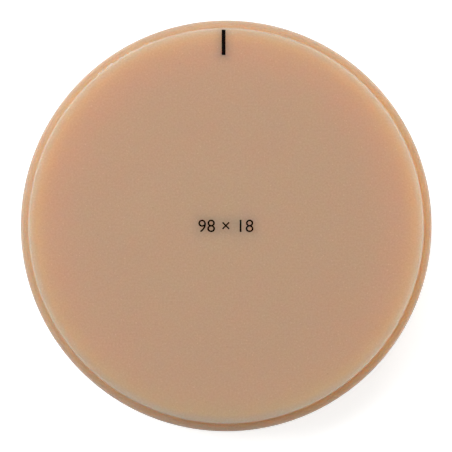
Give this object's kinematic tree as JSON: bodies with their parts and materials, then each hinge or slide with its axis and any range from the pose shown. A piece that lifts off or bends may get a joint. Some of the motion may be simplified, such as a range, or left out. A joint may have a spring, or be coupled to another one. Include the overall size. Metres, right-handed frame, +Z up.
{
  "type": "dental milling disc",
  "caption": "Round stepped blank of translucent tooth-coloured composite with a clamping collar, milled into crowns and bridges.",
  "frame": {"origin": "centre of the lower face, on the surface that the disc lies on", "axes": "+Z up through the disc's thickness along its axis, +Y towards the orientation mark printed on the upper face"},
  "size_m": [0.0984, 0.0984, 0.018],
  "materials": {
    "composite": "satin"
  },
  "bodies": {
    "root": {"milling_disc": "composite"}
  },
  "joints": []
}
